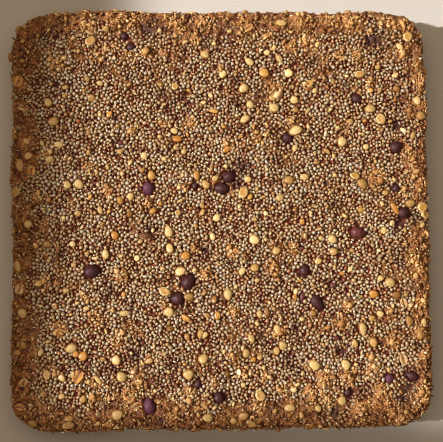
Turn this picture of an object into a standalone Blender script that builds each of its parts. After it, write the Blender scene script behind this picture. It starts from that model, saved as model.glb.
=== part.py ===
"""A square slab of baked granola bar, uncut, as it lifts out of its tin, with dark drops
pressed into its top. Metres, +Z up, origin at the centre of the flat underside."""

from math import cos, pi, radians, sin, tan

import bmesh
import bpy
from mathutils import Vector, noise

MM = 0.001

# The slab: one eight-inch tin of mixture, pressed flat
SIDE = 203 * MM                 # square, side to side
THICKNESS = 22 * MM
CORNER_RADIUS = 19 * MM         # upright corners, seen from above
SHOULDER_RADIUS = 5 * MM        # rounding between the top and the sides
FOOT_RADIUS = 2.5 * MM          # rounding between the sides and the underside
SIDE_LEAN = radians(3)          # the tin's sides flare upwards
TOP_CELLS = 30                  # mesh cells across the top
SHOULDER_STEPS = 3
FOOT_STEPS = 2

# Hand-pressed unevenness: (height of the bumps, distance between them)
TOP_BUMPS = ((0.8 * MM, 38 * MM), (0.35 * MM, 15 * MM))
SIDE_BUMPS = ((1.1 * MM, 34 * MM), (1.0 * MM, 13 * MM))

# Dark drops: turned pointed ovals that lie on their sides in close pockets
DROP_STEPS = 10                 # round the drop
DROP_ROWS = 7                   # points along its profile, both ends included
POCKET_GAP = 0.3 * MM
ROUND = 0.1                     # how far an end draws out to a point
OVAL = 0.35
POINTED = 0.7
PROUD = 0.36                    # share of its width that stands above the top
SUNK = 0.22

# across, along, length, width in millimetres; heading of the tip in degrees; form; seat
DROPS = (
    (-61.4, -25.0, 8.8, 6.8, 14, POINTED, PROUD),
    (-35.0, 14.3, 6.6, 6.1, -75, ROUND, PROUD),
    (-16.1, -30.3, 8.4, 6.7, 55, OVAL, PROUD),
    (-21.5, -38.4, 7.2, 6.4, 185, OVAL, PROUD),
    (0.0, 14.2, 7.4, 5.4, 175, ROUND, PROUD),
    (3.6, 19.8, 6.4, 5.6, 15, ROUND, PROUD),
    (-12.8, 16.0, 4.8, 3.2, 90, OVAL, SUNK),
    (32.4, 38.3, 6.6, 5.2, -30, OVAL, SUNK),
    (39.5, -25.5, 5.8, 5.4, 80, ROUND, PROUD),
    (45.6, -41.2, 9.4, 5.6, -55, POINTED, PROUD),
    (38.4, -37.7, 6.2, 3.4, 80, OVAL, SUNK),
    (66.2, -7.5, 8.8, 6.0, -10, POINTED, PROUD),
    (66.3, 57.7, 6.4, 5.4, -35, ROUND, SUNK),
    (85.0, 34.0, 6.8, 6.2, 25, OVAL, PROUD),
    (88.0, 1.8, 6.2, 5.8, -20, OVAL, PROUD),
    (84.4, 14.0, 4.4, 4.0, 80, ROUND, SUNK),
    (79.5, -77.3, 4.8, 4.4, 90, ROUND, PROUD),
    (90.4, -76.3, 6.6, 5.2, 155, OVAL, SUNK),
    (-35.0, -88.6, 8.4, 6.0, 100, OVAL, PROUD),
    (59.4, -83.6, 4.2, 3.8, 60, ROUND, SUNK),
    (-12.0, -78.4, 5.2, 3.8, 75, OVAL, SUNK),
    (-2.1, -85.5, 6.4, 6.0, -60, ROUND, SUNK),
    (-46.5, 88.5, 4.6, 4.0, 120, OVAL, SUNK),
    (-43.1, 82.8, 4.6, 4.2, 0, ROUND, SUNK),
)

# Finishes: colour in linear light, roughness
TOASTED_CRUMB = ((0.28, 0.15, 0.07), 0.75)
DARK_DROP = ((0.07, 0.024, 0.02), 0.38)


def clear_scene():
    for old in list(bpy.data.objects):
        bpy.data.objects.remove(old, do_unlink=True)


def new_collection(name):
    collection = bpy.data.collections.new(name)
    bpy.context.scene.collection.children.link(collection)
    return collection


def finish(name, look):
    colour, roughness = look
    material = bpy.data.materials.new(name)
    material.use_nodes = True
    shader = material.node_tree.nodes["Principled BSDF"]
    shader.inputs["Base Color"].default_value = (*colour, 1)
    shader.inputs["Roughness"].default_value = roughness
    shader.inputs["Metallic"].default_value = 0
    return material


def bumps(place, layers):
    """Sum of smooth bumps at a place, each layer (height, distance)."""
    return sum(height * noise.noise(place / distance) for height, distance in layers)


def top_height(x, y):
    return THICKNESS + bumps(Vector((x, y, 0)), TOP_BUMPS)


def outline(across, along, inset):
    """Point of the rounded square for a point on the unit square's edge, and the way out."""
    square = Vector((across, along, 0)) * SIDE / 2
    core = SIDE / 2 - CORNER_RADIUS
    centre = Vector((max(-core, min(core, square.x)), max(-core, min(core, square.y)), 0))
    outward = (square - centre).normalized()
    return centre + outward * (CORNER_RADIUS - inset), outward


def side_rows():
    """Inset and height of each row of points from the shoulder down to the underside."""
    rows = []
    for step in range(1, SHOULDER_STEPS + 1):
        turn = step / SHOULDER_STEPS * pi / 2
        rows.append((SHOULDER_RADIUS * (1 - sin(turn)), THICKNESS - SHOULDER_RADIUS * (1 - cos(turn))))
    straight = THICKNESS - SHOULDER_RADIUS - FOOT_RADIUS
    foot_inset = straight * tan(SIDE_LEAN)
    rows.append((foot_inset / 2, FOOT_RADIUS + straight / 2))
    for step in range(FOOT_STEPS + 1):
        turn = step / FOOT_STEPS * pi / 2
        rows.append((foot_inset + FOOT_RADIUS * (1 - cos(turn)), FOOT_RADIUS * (1 - sin(turn))))
    return rows


def side_point(across, along, inset, height):
    point, outward = outline(across, along, inset)
    low = Vector((point.x, point.y, height))
    point = low + outward * bumps(low, SIDE_BUMPS)
    point.z = height * top_height(low.x, low.y) / THICKNESS
    return point


def top_point(across, along):
    """Place on the top: rings of the unit square become rings of the rounded square."""
    ring = max(abs(across), abs(along))
    if ring == 0:
        return Vector((0, 0, top_height(0, 0)))
    edge = side_point(across / ring, along / ring, SHOULDER_RADIUS, THICKNESS)
    return Vector((edge.x * ring, edge.y * ring, top_height(edge.x * ring, edge.y * ring)))


def slab_mesh():
    """A grid laid out as the top, its rim drawn down the sides, and a flat underside."""
    shape = bmesh.new()
    bmesh.ops.create_grid(shape, x_segments=TOP_CELLS, y_segments=TOP_CELLS, size=1)
    across = shape.verts.layers.float.new("across")
    along = shape.verts.layers.float.new("along")
    for vert in shape.verts:
        vert[across], vert[along] = vert.co.x, vert.co.y
        vert.co = top_point(vert.co.x, vert.co.y)
    rim = [edge for edge in shape.edges if edge.is_boundary]
    for inset, height in side_rows():
        drawn = bmesh.ops.extrude_edge_only(shape, edges=rim)["geom"]
        rim = [item for item in drawn if isinstance(item, bmesh.types.BMEdge)]
        for vert in (item for item in drawn if isinstance(item, bmesh.types.BMVert)):
            vert.co = side_point(vert[across], vert[along], inset, height)
    bmesh.ops.holes_fill(shape, edges=rim, sides=0)
    bmesh.ops.recalc_face_normals(shape, faces=shape.faces)
    centre_on_origin(shape)
    mesh = bpy.data.meshes.new("slab")
    shape.to_mesh(mesh)
    shape.free()
    return mesh


def centre_on_origin(shape):
    for axis in (0, 1):
        places = [vert.co[axis] for vert in shape.verts]
        middle = (min(places) + max(places)) / 2
        for vert in shape.verts:
            vert.co[axis] -= middle


def drop_object(name, row, grow, collection):
    """A turned pointed oval on its side; grow makes the cutter of its pocket."""
    x, y, length, width, heading, point, seat = row
    turns = [pi * step / (DROP_ROWS - 1) for step in range(DROP_ROWS)]
    swell = [sin(turn) * sin(turn / 2) ** point for turn in turns]
    half_length = length * MM / 2 + grow
    half_width = (width * MM / 2 + grow) / max(swell)
    profile = [(half_width * wide, 0, half_length * cos(turn)) for turn, wide in zip(turns, swell)]
    profile[0] = (0, 0, half_length)
    profile[-1] = (0, 0, -half_length)
    mesh = bpy.data.meshes.new(name)
    mesh.from_pydata(profile, [(row, row + 1) for row in range(DROP_ROWS - 1)], [])
    drop = bpy.data.objects.new(name, mesh)
    collection.objects.link(drop)
    turned = drop.modifiers.new("turned", "SCREW")
    turned.steps = DROP_STEPS
    turned.render_steps = DROP_STEPS
    turned.use_merge_vertices = True
    turned.merge_threshold = 0.00001
    turned.use_smooth_shade = True
    drop.rotation_euler = (0, pi / 2, radians(heading))
    x, y, width = x * MM, y * MM, width * MM
    drop.location = (x, y, top_height(x, y) + width * (seat - 0.5))
    return drop


def make_slab(collection, pockets):
    slab = bpy.data.objects.new("slab", slab_mesh())
    slab.data.materials.append(finish("toasted_crumb", TOASTED_CRUMB))
    slab.data.shade_smooth()
    collection.objects.link(slab)
    cut = slab.modifiers.new("pockets", "BOOLEAN")
    cut.operation = "DIFFERENCE"
    cut.solver = "EXACT"
    cut.operand_type = "COLLECTION"
    cut.collection = pockets


def make_drops(collection, pockets):
    look = finish("dark_drop", DARK_DROP)
    for number, row in enumerate(DROPS, start=1):
        drop = drop_object(f"dark_drop_{number:02d}", row, 0, collection)
        drop.data.materials.append(look)
        cutter = drop_object(f"pocket_{number:02d}", row, POCKET_GAP, pockets)
        cutter.hide_render = True
        cutter.display_type = "WIRE"


clear_scene()
parts = new_collection("granola_slab")
cutters = new_collection("cutters")
make_drops(parts, cutters)
make_slab(parts, cutters)
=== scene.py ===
"""Looks of an uncut square slab of baked granola bar: toasted grains bound in dark syrup,
a browner oat-crumbed rim, pale and amber kernels, rolled-oat flakes and dark drops."""

from math import ceil, cos, pi, radians, sin, sqrt, tan

import bpy
import numpy as np
from mathutils import Euler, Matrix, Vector, noise
from mathutils.bvhtree import BVHTree
from mathutils.kdtree import KDTree


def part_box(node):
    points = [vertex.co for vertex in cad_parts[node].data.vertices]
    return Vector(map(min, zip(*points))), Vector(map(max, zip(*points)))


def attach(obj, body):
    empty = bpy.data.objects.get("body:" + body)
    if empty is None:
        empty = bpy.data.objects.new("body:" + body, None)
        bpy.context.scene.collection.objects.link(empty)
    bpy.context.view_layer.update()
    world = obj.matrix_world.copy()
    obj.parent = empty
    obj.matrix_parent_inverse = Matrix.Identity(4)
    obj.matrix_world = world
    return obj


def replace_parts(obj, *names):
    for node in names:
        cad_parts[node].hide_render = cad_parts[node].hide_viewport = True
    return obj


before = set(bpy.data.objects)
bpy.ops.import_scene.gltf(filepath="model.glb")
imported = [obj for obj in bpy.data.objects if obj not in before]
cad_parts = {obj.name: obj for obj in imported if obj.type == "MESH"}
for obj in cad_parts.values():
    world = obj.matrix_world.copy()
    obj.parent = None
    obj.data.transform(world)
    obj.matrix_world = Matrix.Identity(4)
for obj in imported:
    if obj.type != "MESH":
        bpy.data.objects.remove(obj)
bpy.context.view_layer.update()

MM = 0.001

# The slab's form, as the CAD slab has it
THICKNESS = 22 * MM
HALF_SIDE = 101.5 * MM
CORNER_RADIUS = 19 * MM
SHOULDER_RADIUS = 5 * MM
FOOT_RADIUS = 2.5 * MM
SIDE_LEAN = radians(3)
SIDE_CELLS = 120                # mesh cells along a side, about 1.7 mm each
SMOOTHING_ROUNDS = 3
CRUMB_PARTS = 3                 # each cell is cut in three under the baked crumb

# Grains
GRAIN_SPACING = 1.84 * MM       # centre to centre, packed
SYRUP_DEPTH = 1.15 * MM         # how far the syrup lies below the grains' tops
UNDERSIDE_DEPTH = 0.3 * MM      # the underside is pressed smooth
SIDE_GRAINS = 0.7 * MM          # how far grains on the sides stand out to the slab's outline
CLUMP_RISE = 0.7 * MM           # how far oat crumb stands above the syrup
RIM_BANDS = (21, 21, 21, 25)    # mm, width of the browner, crumbed rim: left, right, back, front

rng = np.random.default_rng(41)
drop_names = sorted(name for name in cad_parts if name.startswith("dark_drop"))


# ---- placing ---------------------------------------------------------------------------

def unit(vectors):
    return vectors / np.maximum(np.linalg.norm(vectors, axis=-1, keepdims=True), 1e-12)


def smooth_step(low, high, value):
    part = np.clip((value - low) / (high - low), 0, 1)
    return part * part * (3 - 2 * part)


def cloud(points, size, shift=0):
    """Smooth noise, about -1 to 1, with features of this size."""
    moved = points / size + shift
    return np.array([noise.noise(place) for place in moved.tolist()])


def streaks(points, size, shift=0):
    """Noise drawn out along the way the mixture was pushed across the tin."""
    turned = points.copy()
    turned[:, 0] = (points[:, 0] - points[:, 1]) / 2.4
    turned[:, 1] = points[:, 0] + points[:, 1]
    return cloud(turned, size, shift)


def rim_nearness(points):
    """1 at the slab's outline, seen from above, falling to 0 at the inner edge of the rim."""
    x, y = points[:, 0], points[:, 1]
    sides = np.stack([HALF_SIDE + x, HALF_SIDE - x, HALF_SIDE - y, HALF_SIDE + y], axis=1)
    near = np.clip(1 - sides / (np.array(RIM_BANDS) * MM), 0, None)
    return np.linalg.norm(near, axis=1)


def toasting(points):
    """0 where the top is plain grain, 1 where it is browned and thick with oat crumb."""
    uneven = 0.42 * cloud(points, 15 * MM, 3.1) + 0.25 * cloud(points, 5 * MM, 7.7)
    rim = smooth_step(0.15, 0.8, rim_nearness(points) * (1 + 1.2 * uneven) + 0.3 * uneven)
    patches = 0.6 * smooth_step(0.1, 0.45, streaks(points, 14 * MM, 1.7))
    patches *= 0.7 + 0.8 * cloud(points, 4 * MM, 9.2)
    return np.clip(np.maximum(rim, patches), 0, 1)


# Where dark fruits have melted into the mixture, and, at a few hollows, painted shade: across, along, reach in
# millimetres
DARK_PATCHES = (
    (86, -87, 4), (88, -82, 4), (90, -76, 4), (86, 45, 4), (86, -3, 4), (93, 1, 3), (10, 24, 4), (5, 20, 4),
    (7, 16, 3), (-9, -16, 3), (-34, -6, 4), (-42, -64, 4), (-34, 92, 5), (75, 87, 6), (0, -85, 4),
    (-65, 91, 2), (-79, 88, 2), (-56, 73, 2), (35, -52, 2), (57, -64, 3), (37, -74, 3), (53, -93, 3),
    (61, -85, 2), (-98, -6, 2), (-77, -18, 2), (-50, 48, 2), (95, -62, 2), (-53, -33, 2), (-97, 32, 2),
    (18, -56, 2),
)
DUSKY_PATCHES = (
    (85, -18, 4), (27, -32, 3), (4, -22, 3), (-76, -17, 4), (-55, -34, 4), (-38, -69, 3), (-54, -88, 4),
    (-64, -69, 4), (-76, -88, 3), (-42, -97, 4), (-91, -53, 3), (57, -64, 4), (53, -32, 3), (37, -74, 3),
    (67, -84, 3), (53, -93, 4), (-24, -67, 4), (-1, -76, 3), (-30, -95, 4), (19, -60, 4), (23, -92, 4),
    (34, -53, 3), (3, 93, 4), (-8, 86, 4), (-57, 73, 4), (-23, 57, 5), (-29, 60, 4), (8, 55, 4),
    (44, 75, 4), (-85, 88, 4), (16, -16, 3), (18, -27, 3), (37, -14, 3), (31, -68, 4), (68, -83, 3),
    (-42, 68, 3), (-49, 37, 3), (-64, 37, 3), (-20, 42, 2), (-26, 31, 2), (-72, 32, 3), (-17, 84, 4),
    (-80, 65, 3), (-17, 52, 3), (-50, 48, 2), (30, 87, 4), (18, 58, 3), (6, 67, 3), (9, 43, 3), (26, 28, 3),
    (34, 24, 2), (57, 23, 3), (54, 7, 3), (86, 55, 4), (90, 68, 3), (-58, -25, 3), (-13, -29, 4),
    (-19, -42, 3), (48, -41, 3), (41, -24, 3), (70, -7, 3), (-70, -66, 3), (-52, -72, 3), (-31, -78, 3),
    (60, 64, 3), (-12, -78, 3), (-44, -43, 3), (30, 38, 4),
)


def darkness(points):
    """How much each point is darkened: melted dark fruits, and painted shade in a few hollows."""
    dark = np.zeros(len(points))
    ragged = 1 + 0.5 * cloud(points, 2.5 * MM, 6.1)
    for rows, strength in ((DARK_PATCHES, 0.85), (DUSKY_PATCHES, 0.45)):
        for x, y, reach in rows:
            away = np.hypot(points[:, 0] - x * MM, points[:, 1] - y * MM) / (reach * MM * ragged)
            dark = np.maximum(dark, strength * np.exp(-away ** 2))
    return dark * (points[:, 2] > THICKNESS / 2)


# Where oats have baked into standing lumps: across, along, reach in millimetres
OAT_HEAPS = (
    (24, -24, 5), (-12, -14, 4), (6, -17, 4), (34, -15, 4), (-15, 46, 4), (-12, 86, 4), (-48, 96, 4), (-54, 82, 4),
    (-43, 95, 4), (11, 93, 4), (64, 95, 5), (39, 97, 5), (43, 85, 5), (81, 95, 4), (73, 91, 3), (35, 47, 4),
    (-63, 24, 4), (-35, 8, 3), (-40, -77, 4), (-36, -66, 3), (-45, -84, 5), (-61, -84, 4), (-54, -96, 4),
    (-60, -77, 4), (-16, -82, 4), (-30, -65, 3), (-4, -78, 3), (-24, -93, 4), (72, -72, 5), (75, -83, 6),
    (41, -72, 3), (-27, -41, 3), (92, 28, 5), (93, 20, 5), (88, 12, 4), (92, -19, 4), (95, -25, 4), (96, -42, 5),
    (97, -66, 4), (15, -89, 4), (50, -88, 4), (65, -92, 5), (85, -95, 5), (96, -85, 5), (-66, 93, 5), (98, 67, 4),
    (99, 54, 4), (55, 96, 4), (60, -42, 4), (82, -60, 4), (-87, 10, 4), (-20, 93, 4), (5, -66, 4), (6, -45, 4),
    (-54, 13, 3), (-65, -38, 3), (-48, -27, 4), (27, 62, 4), (17, 39, 4), (-77, -52, 5), (-50, -58, 4),
    (-53, -84, 4), (-10, -88, 4), (-60, -46, 4), (27, -55, 4), (57, -50, 5), (48, -78, 6), (60, -76, 5),
    (42, -83, 5), (30, -82, 4), (10, -74, 4), (95, -55, 4), (-83, 32, 4), (-43, 42, 3), (-26, 45, 3),
    (-43, 79, 4), (-78, 75, 5), (-60, 78, 3), (-8, 95, 4), (34, 83, 4), (58, 80, 4), (66, 78, 4), (73, 65, 4),
    (42, 64, 3), (3, 35, 4), (76, 21, 4), (-80, -72, 3), (-19, 14, 3), (0, 72, 3), (88, 80, 4), (90, 96, 4),
    (-85, -12, 3), (-84, -30, 4), (20, -75, 3), (-36, 80, 3), (23, 87, 4), (80, -45, 3), (-8, -27, 4),
)


def heaping(points):
    """How much each point lies in a standing lump of oats."""
    height = np.zeros(len(points))
    ragged = 1 + 0.45 * cloud(points, 3 * MM, 4.7)
    for x, y, reach in OAT_HEAPS:
        away = np.hypot(points[:, 0] - x * MM, points[:, 1] - y * MM) / (0.8 * reach * MM * ragged)
        height = np.maximum(height, np.exp(-away ** 2))
    return height * (points[:, 2] > THICKNESS / 2)


def pebbles(points, size):
    """Relief of lumps packed side by side: about 1 on top of a lump, about 0 between lumps."""
    gaps = [noise.voronoi(place)[0][0] for place in (points / size).tolist()]
    return 1 - 1.5 * np.array(gaps) ** 2


# ---- the slab's fine skin --------------------------------------------------------------

def rounded_square(across, along, inset):
    """Place on the rounded square for a point on the unit square's edge."""
    core = HALF_SIDE - CORNER_RADIUS
    square = np.stack([across, along], axis=-1) * HALF_SIDE
    centre = np.clip(square, -core, core)
    return centre + unit(square - centre) * (CORNER_RADIUS - inset)


def side_rows():
    """Inset and height of each ring from just under the top to the edge of the underside."""
    rows = []
    for turn in np.linspace(0, pi / 2, 8)[1:]:
        rows.append((SHOULDER_RADIUS * (1 - sin(turn)), THICKNESS - SHOULDER_RADIUS * (1 - cos(turn))))
    upper, lower = THICKNESS - SHOULDER_RADIUS, FOOT_RADIUS
    for height in np.linspace(upper, lower, 13)[1:-1]:
        rows.append(((upper - height) * tan(SIDE_LEAN), height))
    foot = (upper - lower) * tan(SIDE_LEAN)
    for turn in np.linspace(0, pi / 2, 5):
        rows.append((foot + FOOT_RADIUS * (1 - cos(turn)), FOOT_RADIUS * (1 - sin(turn))))
    return rows


def flat_grid(inset, height):
    """Square grid of points whose rings follow the slab's outline."""
    line = np.linspace(-1, 1, SIDE_CELLS + 1)
    across, along = np.meshgrid(line, line, indexing="ij")
    ring = np.maximum(np.maximum(np.abs(across), np.abs(along)), 1e-9)
    places = rounded_square(across / ring, along / ring, inset) * ring[..., None]
    return np.concatenate([places, np.full((*ring.shape, 1), height)], axis=-1)


def rim_walk():
    """Grid indices round the rim, counter-clockwise seen from above."""
    last = SIDE_CELLS
    steps = np.arange(last)
    ends = np.full(last, last)
    start = np.zeros(last, int)
    across = np.concatenate([steps, ends, last - steps, start])
    along = np.concatenate([start, steps, ends, last - steps])
    return across, along


def grid_faces(ids):
    return np.stack([ids[:-1, :-1], ids[1:, :-1], ids[1:, 1:], ids[:-1, 1:]], axis=-1).reshape(-1, 4)


def grid_map(low, size):
    """Corner places on the bake map for grid_faces, in a square from low."""
    line = low[0] + size * np.linspace(0, 1, SIDE_CELLS + 1)
    other = low[1] + size * np.linspace(0, 1, SIDE_CELLS + 1)
    places = np.stack(np.meshgrid(line, other, indexing="ij"), axis=-1)
    corners = [places[:-1, :-1], places[1:, :-1], places[1:, 1:], places[:-1, 1:]]
    return np.stack(corners, axis=2).reshape(-1, 4, 2)


def side_map(rows):
    """Corner places of the side faces: a strip for each of the four sides."""
    strips = []
    for row in range(rows):
        step = np.arange(4 * SIDE_CELLS)
        side, part = step // SIDE_CELLS, step % SIDE_CELLS
        left = 0.01 + 0.68 * part / SIDE_CELLS
        right = 0.01 + 0.68 * (part + 1) / SIDE_CELLS
        upper = 0.985 - side * 0.073 - 0.068 * row / rows
        lower = 0.985 - side * 0.073 - 0.068 * (row + 1) / rows
        corners = [(left, upper), (left, lower), (right, lower), (right, upper)]
        strips.append(np.stack([np.stack(corner, axis=-1) for corner in corners], axis=1))
    return np.concatenate(strips)


def closed_slab():
    """Points, faces and bake map of a closed slab: top grid, side rings, underside grid."""
    top = flat_grid(SHOULDER_RADIUS, THICKNESS)
    top_ids = np.arange(top.shape[0] * top.shape[1]).reshape(top.shape[:2])
    points, faces = [top.reshape(-1, 3)], [grid_faces(top_ids)]
    across, along = rim_walk()
    upper = top_ids[across, along]
    line = np.linspace(-1, 1, SIDE_CELLS + 1)
    count = top_ids.size
    rows = side_rows()
    for inset, height in rows:
        ring = rounded_square(line[across], line[along], inset)
        points.append(np.column_stack([ring, np.full(len(ring), height)]))
        lower = count + np.arange(len(ring))
        count += len(ring)
        faces.append(np.stack([upper, lower, np.roll(lower, -1), np.roll(upper, -1)], axis=-1))
        upper = lower
    under = flat_grid(rows[-1][0], 0)
    under_ids = np.full(top_ids.shape, -1)
    under_ids[across, along] = upper
    inner = under_ids < 0
    under_ids[inner] = count + np.arange(inner.sum())
    points.append(under[inner])
    faces.append(grid_faces(under_ids)[:, ::-1])
    maps = [grid_map((0.01, 0.01), 0.68), side_map(len(rows)), grid_map((0.7, 0.01), 0.29)[:, ::-1]]
    return np.concatenate(points), np.concatenate(faces), np.concatenate(maps)


def drop_circles():
    """Centre and reach, seen from above, of each dark drop."""
    circles = []
    for name in drop_names:
        low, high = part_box(name)
        circles.append(((low.x + high.x) / 2, (low.y + high.y) / 2, (high - low).xy.length / 2))
    return circles


def drawn_on_slab(points):
    """Moves each point to the CAD slab's surface, and bridges the drops' pockets."""
    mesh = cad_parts["slab"].data
    tree = BVHTree.FromPolygons([v.co[:] for v in mesh.vertices], [p.vertices[:] for p in mesh.polygons])
    drawn = np.array([tree.find_nearest(place)[0] for place in points.tolist()])
    for x, y, reach in drop_circles():
        away = np.hypot(points[:, 0] - x, points[:, 1] - y)
        upper = points[:, 2] > THICKNESS / 2
        near = upper & (away < reach + 0.8 * MM)
        round_it = upper & (away > reach + 0.8 * MM) & (away < reach + 3 * MM)
        drawn[near, :2] = points[near, :2]
        drawn[near, 2] = drawn[round_it, 2].mean()
    return drawn


def face_normals(points, faces):
    corners = points[faces]
    return np.cross(corners[:, 2] - corners[:, 0], corners[:, 3] - corners[:, 1]) / 2


def point_normals(points, faces):
    normals = np.zeros_like(points)
    crossed = face_normals(points, faces)
    for corner in range(faces.shape[1]):
        for axis in range(3):
            normals[:, axis] += np.bincount(faces[:, corner], crossed[:, axis], len(points))
    return unit(normals)


def smoothed(points, faces, rounds):
    """Each point halfway to the middle of its neighbours, round after round."""
    pairs = np.concatenate([faces[:, [0, 1]], faces[:, [1, 2]], faces[:, [2, 3]], faces[:, [3, 0]]])
    degree = np.bincount(pairs[:, 0], minlength=len(points))
    for _ in range(rounds):
        middle = [np.bincount(pairs[:, 0], points[pairs[:, 1], axis], len(points)) / degree for axis in range(3)]
        points = (points + np.stack(middle, axis=-1)) / 2
    return points


class Skin:
    """The slab's surface as a fine closed mesh, for placing things on it."""

    def __init__(self):
        flat, self.faces, self.map = closed_slab()
        self.points = smoothed(drawn_on_slab(flat), self.faces, SMOOTHING_ROUNDS)
        self.points[:, 2] = np.maximum(self.points[:, 2], 0)
        self.normals = point_normals(self.points, self.faces)
        sideways = np.linalg.norm(self.normals[:, :2], axis=1, keepdims=True)
        self.points -= self.normals * sideways * SIDE_GRAINS
        self.tree = BVHTree.FromPolygons(self.points.tolist(), self.faces.tolist())
        self.flat_ways = unit(face_normals(self.points, self.faces))

    def nearest(self, places):
        """The nearest surface points and the surface's way out there."""
        found = [self.tree.find_nearest(place) for place in places.tolist()]
        points = np.array([item[0] for item in found])
        ways = self.flat_ways[[item[2] for item in found]]
        return points, ways

    def random_points(self, count):
        """Points spread evenly by area."""
        area = np.linalg.norm(face_normals(self.points, self.faces), axis=1)
        steps = (np.arange(count) + rng.random(count)) / count
        chosen = np.searchsorted(np.cumsum(area) / area.sum(), rng.permutation(steps))
        chosen = np.minimum(chosen, len(area) - 1)
        a, b = rng.random((2, count, 1))
        corners = self.points[self.faces[chosen]]
        low = corners[:, 0] * (1 - a) + corners[:, 1] * a
        high = corners[:, 3] * (1 - a) + corners[:, 2] * a
        return low * (1 - b) + high * b


def finer(skin, chosen, parts):
    """The chosen faces of the skin cut into parts by parts: points, normals, faces and map."""
    line = np.linspace(0, 1, parts + 1)
    a, b = np.meshgrid(line, line, indexing="ij")
    share = np.stack([(1 - a) * (1 - b), a * (1 - b), a * b, (1 - a) * b], axis=-1).reshape(-1, 4)
    points, normals, spots = (np.einsum("kc,ncx->nkx", share, corners) for corners in (
        skin.points[skin.faces[chosen]], skin.normals[skin.faces[chosen]], skin.map[chosen]))
    small = grid_faces(np.arange(len(share)).reshape(parts + 1, parts + 1))
    faces = small[None] + (np.arange(len(chosen)) * len(share))[:, None, None]
    points, normals = points.reshape(-1, 3), unit(normals.reshape(-1, 3))
    _, first, same = np.unique(np.round(points / (0.01 * MM)), axis=0, return_index=True, return_inverse=True)
    return points[first], normals[first], same.reshape(-1)[faces.reshape(-1, 4)], spots[:, small].reshape(-1, 4, 2)


# ---- meshes ----------------------------------------------------------------------------

def new_piece(name, points, faces, corner_map, values, look):
    """A smooth mesh object with a bake map and named numbers on its points."""
    sides = faces.shape[1]
    mesh = bpy.data.meshes.new(name)
    mesh.vertices.add(len(points))
    mesh.vertices.foreach_set("co", points.astype(np.float32).ravel())
    mesh.loops.add(faces.size)
    mesh.loops.foreach_set("vertex_index", faces.astype(np.int32).ravel())
    mesh.polygons.add(len(faces))
    mesh.polygons.foreach_set("loop_start", np.arange(0, faces.size, sides, dtype=np.int32))
    mesh.update(calc_edges=True)
    bake = mesh.uv_layers.new(name="OFBake")
    bake.uv.foreach_set("vector", corner_map.astype(np.float32).ravel())
    for label, value in values.items():
        kind = "FLOAT" if value.ndim == 1 else "FLOAT_VECTOR"
        layer = mesh.attributes.new(label, kind, "POINT")
        layer.data.foreach_set("value" if value.ndim == 1 else "vector", value.astype(np.float32).ravel())
    mesh.shade_smooth()
    mesh.materials.append(look)
    piece = bpy.data.objects.new(name, mesh)
    bpy.context.scene.collection.objects.link(piece)
    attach(piece, "root")
    return piece


class Bead:
    """A small closed turned body of unit half-sizes, from its top point to its bottom point."""

    def __init__(self, rings, sides, top=1.0, bottom=-1.0):
        around = np.arange(sides) * 2 * pi / sides
        points, spots = [[0, 0, top]], [[0, 0]]
        for row, (radius, height) in enumerate(rings, start=1):
            turned = around + (row % 2) * pi / sides
            points += [[radius * cos(turn), radius * sin(turn), height] for turn in turned]
            out = row / (len(rings) + 1)
            spots += [[out * cos(turn), out * sin(turn)] for turn in turned]
        points.append([0, 0, bottom])
        spots.append([0, 0])
        self.points = np.array(points)
        self.faces = np.array(self.strips(len(rings), sides))
        spots = np.array(spots)[self.faces]
        fan = self.faces[:, 0] == len(points) - 1
        spots[fan, 0] = unit(spots[fan, 1] + spots[fan, 2])
        self.map = 0.5 + spots * 0.46
        self.crown = np.clip(self.points[:, 2] / top, -1, 1)

    @staticmethod
    def strips(rings, sides):
        faces = [(0, 1 + step, 1 + (step + 1) % sides) for step in range(sides)]
        for row in range(rings - 1):
            upper, lower = 1 + row * sides, 1 + (row + 1) * sides
            shift = 1 if row % 2 == 0 else 0
            for step in range(sides):
                after = (step + 1) % sides
                if shift:
                    faces.append((upper + step, lower + (step - 1) % sides, lower + step))
                    faces.append((upper + step, lower + step, upper + after))
                else:
                    faces.append((upper + step, lower + step, lower + after))
                    faces.append((upper + step, lower + after, upper + after))
        base, end = 1 + (rings - 1) * sides, 1 + rings * sides
        faces += [(end, base + (step + 1) % sides, base + step) for step in range(sides)]
        return faces


PLACED = ("axes", "size", "centre", "toast", "fruit_and_shade", "tone")


class Places:
    """Where the copies of a bead go: centre, three directions, half-sizes, and numbers."""

    def __init__(self, points, ways, size, lift, heading=None, tilt=0.0):
        count = len(points)
        heading = rng.uniform(0, 2 * pi, count) if heading is None else heading
        up = unit(ways + tilt * rng.normal(size=(count, 3)))
        start = np.where(np.abs(ways[:, :1]) > 0.8, [[0.0, 1.0, 0.0]], [[1.0, 0.0, 0.0]])
        first = unit(start - up * (start * up).sum(axis=1, keepdims=True))
        second = np.cross(up, first)
        turn = np.asarray(heading)[:, None]
        along = first * np.cos(turn) + second * np.sin(turn)
        self.axes = np.stack([along, np.cross(up, along), up], axis=1)
        self.size = np.broadcast_to(size, (count, 3)).astype(float)
        self.centre = points + ways * np.broadcast_to(lift, count)[:, None]
        self.toast = toasting(points)
        self.fruit_and_shade = darkness(points)
        self.tone = rng.random(count)

    def keep(self, chosen):
        kept = Places.__new__(Places)
        for name in PLACED:
            setattr(kept, name, getattr(self, name)[chosen])
        return kept

    def flattened(self, height):
        self.size[:, 2] = height
        return self

    def cover(self, points, share=0.9, depth=1.6 * MM):
        """Whether each point lies on or under one of these pieces."""
        covered = np.zeros(len(points), bool)
        for centre, axes, size in zip(self.centre, self.axes, self.size):
            near = np.flatnonzero(np.abs(points - centre).max(axis=1) < size.max() + depth)
            local = (points[near] - centre) @ axes.T
            inside = np.hypot(local[:, 0] / size[0], local[:, 1] / size[1]) < share
            covered[near] |= inside & (np.abs(local[:, 2]) < depth)
        return covered


def joined(groups):
    whole = Places.__new__(Places)
    for name in PLACED:
        setattr(whole, name, np.concatenate([getattr(group, name) for group in groups]))
    return whole


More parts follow.
